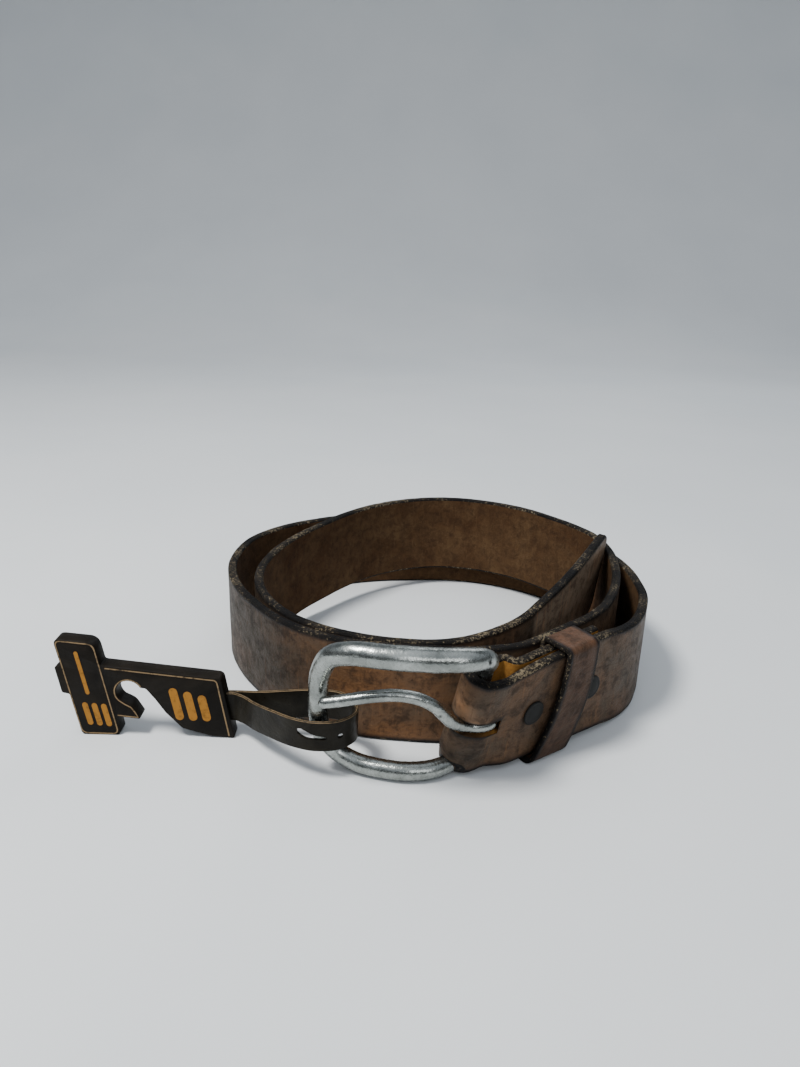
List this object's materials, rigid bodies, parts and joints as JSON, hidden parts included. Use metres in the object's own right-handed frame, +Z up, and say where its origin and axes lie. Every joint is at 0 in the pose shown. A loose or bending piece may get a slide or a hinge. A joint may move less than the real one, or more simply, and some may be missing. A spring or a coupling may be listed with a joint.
{
  "type": "leather belt with buckle",
  "caption": "Coiled brown leather strap belt with a rounded heel bar buckle, wire prong, leather keeper, snapped tail fold and a plastic display hanger looped on the buckle",
  "frame": {"origin": "centre of the bounding box in plan, on the table that the coiled belt lies on", "axes": "+Z up, which is the strap's width; +X along the longest side of the coil; -Y is the side the buckle and hanger are on"},
  "size_m": [0.2211, 0.1876, 0.0547],
  "materials": {
    "strap_leather": "worn satin",
    "keeper_leather": "worn satin",
    "buckle_metal": "tumbled nickel",
    "snap_black": "matt",
    "snap_metal": "satin",
    "hanger_plastic": "satin",
    "band_plastic": "satin"
  },
  "bodies": {
    "belt": {"strap": "strap_leather", "inner_snap_cap": "snap_black", "inner_snap_socket": "snap_metal", "inner_snap_stud": "snap_metal", "inner_snap_post": "snap_metal", "outer_snap_cap": "snap_black", "outer_snap_socket": "snap_metal", "outer_snap_stud": "snap_metal", "outer_snap_post": "snap_metal"},
    "buckle": {"buckle_frame": "buckle_metal"},
    "buckle_prong": {"prong": "buckle_metal"},
    "keeper_loop": {"keeper": "keeper_leather"},
    "hanger": {"hanger_plate": "hanger_plastic", "hanger_band": "band_plastic"}
  },
  "joints": [
    {"name": "buckle_swing", "type": "hinge", "parent": "belt", "child": "buckle", "pos_m": [0.03354, -0.07438, 0.0215], "axis": [0.1579, -0.1711, 0.9725], "range_deg": [-4, 30]},
    {"name": "prong_swing", "type": "hinge", "parent": "buckle", "child": "buckle_prong", "pos_m": [0.03354, -0.07438, 0.0215], "axis": [0.1579, -0.1711, 0.9725], "range_deg": [0, 55]},
    {"name": "keeper_slide", "type": "slide", "parent": "belt", "child": "keeper_loop", "axis": [0.8241, 0.5664, 0], "range_m": [-0.003, 0.002]},
    {"name": "hanger_swing", "type": "hinge", "parent": "buckle", "child": "hanger", "pos_m": [-0.0163, -0.0762, 0], "axis": [0, 0, 1], "range_deg": [-8, 60]}
  ]
}
